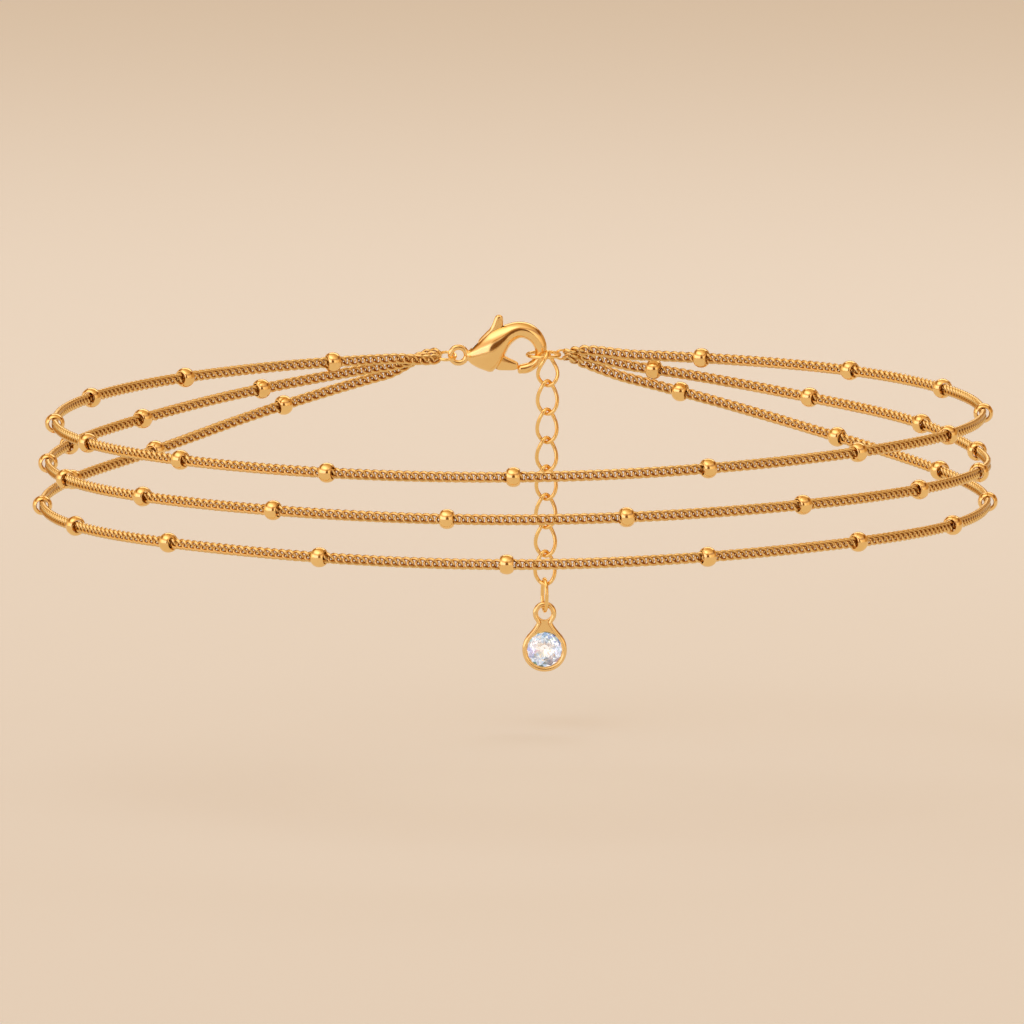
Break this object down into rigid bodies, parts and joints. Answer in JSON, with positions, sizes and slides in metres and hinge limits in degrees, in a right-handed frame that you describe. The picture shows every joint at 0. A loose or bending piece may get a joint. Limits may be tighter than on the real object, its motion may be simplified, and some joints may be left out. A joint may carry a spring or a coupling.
{
  "type": "layered chain bracelet",
  "caption": "Layered bracelet of flat curb chains with drilled round beads, closed by a lobster clasp, with an extender chain that ends in a bezel-set stone drop.",
  "frame": {"origin": "on the wrist's axis at the loop's centre, level with the front of the top strand", "axes": "+Z along the wrist's axis towards the top strand's side, +Y towards the clasp at the back, +X to the right as seen from the front"},
  "size_m": [0.0676, 0.0671, 0.0254],
  "materials": {
    "gold_chain": "polished yellow gold plate, fine links with bright edges and dark gaps",
    "gold_wire": "polished yellow gold plate on round wire",
    "gold_clasp": "smooth mirror-polished yellow gold plate on a cast clasp",
    "gold_setting": "polished yellow gold plate with a slightly softer recessed plate",
    "clear_stone": "clear cut stone, brilliant facets with coloured fire"
  },
  "bodies": {
    "bracelet": {"strand_top": "gold_chain", "strand_middle": "gold_chain", "strand_bottom": "gold_chain", "left_ring": "gold_wire", "jump_ring": "gold_wire", "right_ring": "gold_wire", "clasp_body": "gold_clasp", "extender_link_1": "gold_wire", "extender_link_2": "gold_wire", "extender_link_3": "gold_wire", "extender_link_4": "gold_wire", "extender_link_5": "gold_wire", "extender_link_6": "gold_wire", "extender_link_7": "gold_wire", "extender_link_8": "gold_wire", "drop_ring": "gold_wire"},
    "lever": {"clasp_lever": "gold_clasp"},
    "drop": {"drop_setting": "gold_setting", "drop_stone": "clear_stone"}
  },
  "joints": [
    {"name": "lever_hinge", "type": "hinge", "parent": "bracelet", "child": "lever", "pos_m": [-0.00235, 0.032, 0.00025], "axis": [0, -1, 0], "range_deg": [0, 22], "stiffness_Nm_per_rad": 0.001, "springref_deg": -17.19},
    {"name": "drop_swing", "type": "hinge", "parent": "bracelet", "child": "drop", "pos_m": [0.00182, 0.0309, -0.01765], "axis": [0, -1, 0], "range_deg": [-75, 75]}
  ]
}
